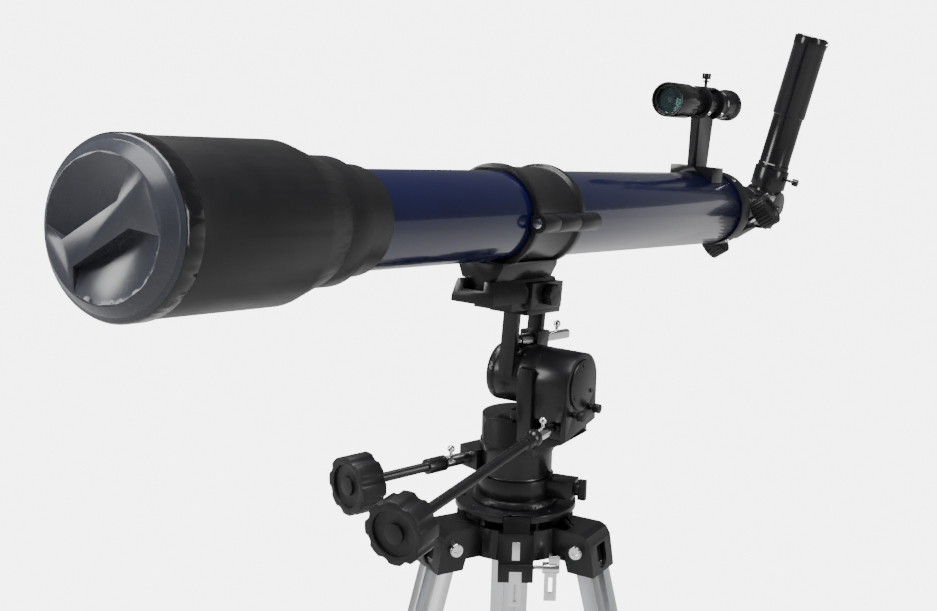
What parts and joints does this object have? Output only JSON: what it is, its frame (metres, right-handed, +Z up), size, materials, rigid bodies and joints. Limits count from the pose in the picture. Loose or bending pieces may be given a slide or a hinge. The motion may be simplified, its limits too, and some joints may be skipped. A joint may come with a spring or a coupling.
{
  "type": "refracting telescope on alt-azimuth tripod",
  "caption": "Refracting telescope with dew shield, finder, diagonal and erecting eyepiece on an alt-azimuth slow-motion head and a folding tripod with braced tray.",
  "frame": {"origin": "on the floor under the azimuth axis", "axes": "+Z up along the azimuth axis; the telescope points along -Y; +X is the side of the altitude case"},
  "size_m": [0.4086, 1.1365, 1.0817],
  "materials": {
    "blue_enamel": "deep blue gloss enamel",
    "black_satin_paint": "satin black paint",
    "cap_plastic": "dark grey moulded plastic, half gloss",
    "cast_black": "die casting with gloss black paint",
    "black_plastic": "moulded black plastic",
    "black_rod": "black control rods",
    "bright_aluminium": "drawn aluminium",
    "chrome": "bright chrome",
    "turned_metal": "turned steel and brass gears",
    "eyepiece_black": "gloss black plastic and anodised metal",
    "optical_glass": "coated optical glass",
    "mirror": "first-surface mirror",
    "baffle_black": "matt black inside the tube"
  },
  "bodies": {
    "base": {"tripod_hub": "cast_black", "hub_plate": "cast_black", "base_ring": "cast_black", "azimuth_wheel": "turned_metal", "front_bracket": "cast_black", "clamp_strips": "chrome", "hub_bolts": "chrome", "brake_block": "cast_black"},
    "brake_knob": {"brake_knob": "black_plastic"},
    "leg_left": {"leg_head_left": "black_plastic", "leg_rails_left": "bright_aluminium"},
    "slide_left": {"leg_slide_left": "bright_aluminium"},
    "lock_left": {"leg_lock_left": "black_plastic"},
    "brace_left": {"brace_left": "black_plastic"},
    "leg_right": {"leg_head_right": "black_plastic", "leg_rails_right": "bright_aluminium"},
    "slide_right": {"leg_slide_right": "bright_aluminium"},
    "lock_right": {"leg_lock_right": "black_plastic"},
    "brace_right": {"brace_right": "black_plastic"},
    "leg_back": {"leg_head_back": "black_plastic", "leg_rails_back": "bright_aluminium"},
    "slide_back": {"leg_slide_back": "bright_aluminium"},
    "lock_back": {"leg_lock_back": "black_plastic"},
    "brace_back": {"brace_back": "black_plastic"},
    "tray": {"tray": "black_plastic"},
    "head": {"pier": "cast_black", "altitude_case": "cast_black", "case_cover": "cast_black", "cover_screws": "black_plastic"},
    "azimuth_worm": {"azimuth_worm": "chrome", "short_rod": "black_rod", "short_knob": "black_plastic"},
    "altitude_worm": {"altitude_worm": "chrome"},
    "long_rod": {"long_rod": "black_rod", "long_knob": "black_plastic"},
    "shaft": {"altitude_shaft": "turned_metal"},
    "fork": {"fork": "cast_black", "fork_cap": "cast_black", "saddle": "cast_black"},
    "fork_worm": {"fork_worm": "chrome"},
    "saddle_knob": {"saddle_knob": "black_plastic"},
    "cradle": {"cradle_lower": "cast_black", "cradle_pins": "chrome"},
    "cradle_upper": {"cradle_upper": "cast_black"},
    "ota": {"dew_shield": "black_satin_paint", "objective_cell": "black_satin_paint", "objective_lens": "optical_glass", "main_tube": "blue_enamel", "tube_baffles": "baffle_black", "focuser_body": "black_satin_paint", "finder_bracket": "eyepiece_black", "finder_tube": "eyepiece_black", "finder_lenses": "optical_glass"},
    "dust_cap": {"dust_cap": "cap_plastic"},
    "drawtube": {"drawtube": "chrome"},
    "focus_pinion": {"focus_pinion": "black_plastic"},
    "diagonal": {"diagonal": "eyepiece_black", "diagonal_mirror": "mirror"},
    "erector": {"erector": "eyepiece_black", "erector_lenses": "optical_glass"}
  },
  "joints": [
    {"name": "azimuth", "type": "hinge", "parent": "base", "child": "head", "pos_m": [0, 0, 0.81279], "axis": [0, 0, 1], "continuous": true},
    {"name": "azimuth_worm_spin", "type": "hinge", "parent": "head", "child": "azimuth_worm", "pos_m": [-0.0254, 0.00915, 0.73359], "axis": [-0.3387, -0.9409, 0], "continuous": true},
    {"name": "altitude", "type": "hinge", "parent": "head", "child": "shaft", "pos_m": [0, 0, 0.81279], "axis": [1, 0, 0], "range_deg": [-60, 24]},
    {"name": "altitude_worm_spin", "type": "hinge", "parent": "head", "child": "altitude_worm", "pos_m": [0.0498, 0, 0.77819], "axis": [0, -1, 0], "continuous": true},
    {"name": "long_rod_spin", "type": "hinge", "parent": "head", "child": "long_rod", "pos_m": [0.0498, -0.062, 0.77819], "axis": [0, -0.9969, -0.0785], "continuous": true},
    {"name": "trim", "type": "hinge", "parent": "shaft", "child": "fork", "pos_m": [0, 0, 0.81279], "axis": [1, 0, 0], "range_deg": [-8, 8]},
    {"name": "trim_worm_spin", "type": "hinge", "parent": "fork", "child": "fork_worm", "pos_m": [0, 0.00383, 0.84153], "axis": [0, 0.9912, -0.1323], "continuous": true},
    {"name": "saddle_clamp", "type": "hinge", "parent": "fork", "child": "saddle_knob", "pos_m": [0.024, 0.001, 0.88832], "axis": [1, 0, 0], "range_deg": [-180, 180]},
    {"name": "cradle_slide", "type": "slide", "parent": "fork", "child": "cradle", "axis": [0, 0.9912, -0.1323], "range_m": [-0.02, 0.02]},
    {"name": "cradle_hinge", "type": "hinge", "parent": "cradle", "child": "cradle_upper", "pos_m": [0.0462, -0.01316, 0.95609], "axis": [0, 0.9912, -0.1323], "range_deg": [0, 110]},
    {"name": "tube_slide", "type": "slide", "parent": "cradle", "child": "ota", "axis": [0, 0.9912, -0.1323], "range_m": [-0.1, 0.1]},
    {"name": "cap_pull", "type": "slide", "parent": "ota", "child": "dust_cap", "axis": [0, -0.9912, 0.1323], "range_m": [0, 0.05]},
    {"name": "focus", "type": "slide", "parent": "ota", "child": "drawtube", "axis": [0, 0.9912, -0.1323], "range_m": [-0.012, 0.06]},
    {"name": "focus_knob_spin", "type": "hinge", "parent": "ota", "child": "focus_pinion", "pos_m": [0.01411, 0.4661, 0.87333], "axis": [0.8192, 0.0759, 0.5685], "range_deg": [-1000, 240]},
    {"name": "diagonal_turn", "type": "hinge", "parent": "drawtube", "child": "diagonal", "pos_m": [0, 0.56491, 0.88047], "axis": [0, 0.9912, -0.1323], "continuous": true},
    {"name": "eyepiece_pull", "type": "slide", "parent": "diagonal", "child": "erector", "axis": [0.1908, 0.1298, 0.973], "range_m": [0, 0.03]},
    {"name": "brake", "type": "hinge", "parent": "base", "child": "brake_knob", "pos_m": [0.05909, 0.01042, 0.71239], "axis": [0.9848, 0.1736, 0], "range_deg": [-60, 60]},
    {"name": "leg_fold_right", "type": "hinge", "parent": "base", "child": "leg_right", "pos_m": [0.07399, 0.00129, 0.66649], "axis": [-0.0175, 0.9998, 0], "range_deg": [0, 15]},
    {"name": "leg_extend_right", "type": "slide", "parent": "leg_right", "child": "slide_right", "axis": [0.2588, 0.0045, -0.9659], "range_m": [0, 0.3]},
    {"name": "leg_clamp_right", "type": "hinge", "parent": "leg_right", "child": "lock_right", "pos_m": [0.238, 0.00415, 0.10066], "axis": [0.9658, 0.0169, 0.2588], "range_deg": [-180, 180]},
    {"name": "brace_right", "type": "hinge", "parent": "leg_right", "child": "brace_right", "pos_m": [0.1269, 0.00221, 0.42185], "axis": [-0.0175, 0.9998, 0], "range_deg": [-50.15, 0]},
    {"name": "leg_fold_left", "type": "hinge", "parent": "base", "child": "leg_left", "pos_m": [-0.03588, -0.06472, 0.66649], "axis": [0.8746, -0.4848, 0], "range_deg": [0, 15]},
    {"name": "leg_extend_left", "type": "slide", "parent": "leg_left", "child": "slide_left", "axis": [-0.1255, -0.2264, -0.9659], "range_m": [0, 0.3]},
    {"name": "leg_clamp_left", "type": "hinge", "parent": "leg_left", "child": "lock_left", "pos_m": [-0.1154, -0.20819, 0.10066], "axis": [-0.4683, -0.8448, 0.2588], "range_deg": [-180, 180]},
    {"name": "brace_left", "type": "hinge", "parent": "leg_left", "child": "brace_left", "pos_m": [-0.06153, -0.11101, 0.42185], "axis": [0.8746, -0.4848, 0], "range_deg": [-50.15, 0]},
    {"name": "leg_fold_back", "type": "hinge", "parent": "base", "child": "leg_back", "pos_m": [-0.03811, 0.06343, 0.66649], "axis": [-0.8572, -0.515, 0], "range_deg": [0, 15]},
    {"name": "leg_extend_back", "type": "slide", "parent": "leg_back", "child": "slide_back", "axis": [-0.1333, 0.2219, -0.9659], "range_m": [0, 0.3]},
    {"name": "leg_clamp_back", "type": "hinge", "parent": "leg_back", "child": "lock_back", "pos_m": [-0.1226, 0.20404, 0.10066], "axis": [-0.4975, 0.828, 0.2588], "range_deg": [-180, 180]},
    {"name": "brace_back", "type": "hinge", "parent": "leg_back", "child": "brace_back", "pos_m": [-0.06537, 0.10879, 0.42185], "axis": [-0.8572, -0.515, 0], "range_deg": [-50.15, 0]},
    {"name": "tray", "type": "hinge", "parent": "brace_back", "child": "tray", "pos_m": [-0.01236, 0.02057, 0.33549], "axis": [-0.8572, -0.515, 0], "range_deg": [0, 35.15]}
  ],
  "couplings": [
    {"joint": "azimuth_worm_spin", "follows": "azimuth", "ratio": 40},
    {"joint": "altitude_worm_spin", "follows": "altitude", "ratio": 48},
    {"joint": "long_rod_spin", "follows": "altitude", "ratio": 48},
    {"joint": "trim_worm_spin", "follows": "trim", "ratio": 48},
    {"joint": "focus_knob_spin", "follows": "focus", "rad_per_m": -261.8},
    {"joint": "brace_right", "follows": "leg_fold_right", "ratio": -3.31},
    {"joint": "leg_fold_left", "follows": "leg_fold_right", "ratio": 1},
    {"joint": "brace_left", "follows": "leg_fold_right", "ratio": -3.31},
    {"joint": "leg_fold_back", "follows": "leg_fold_right", "ratio": 1},
    {"joint": "brace_back", "follows": "leg_fold_right", "ratio": -3.31},
    {"joint": "tray", "follows": "leg_fold_right", "ratio": 2.31}
  ]
}
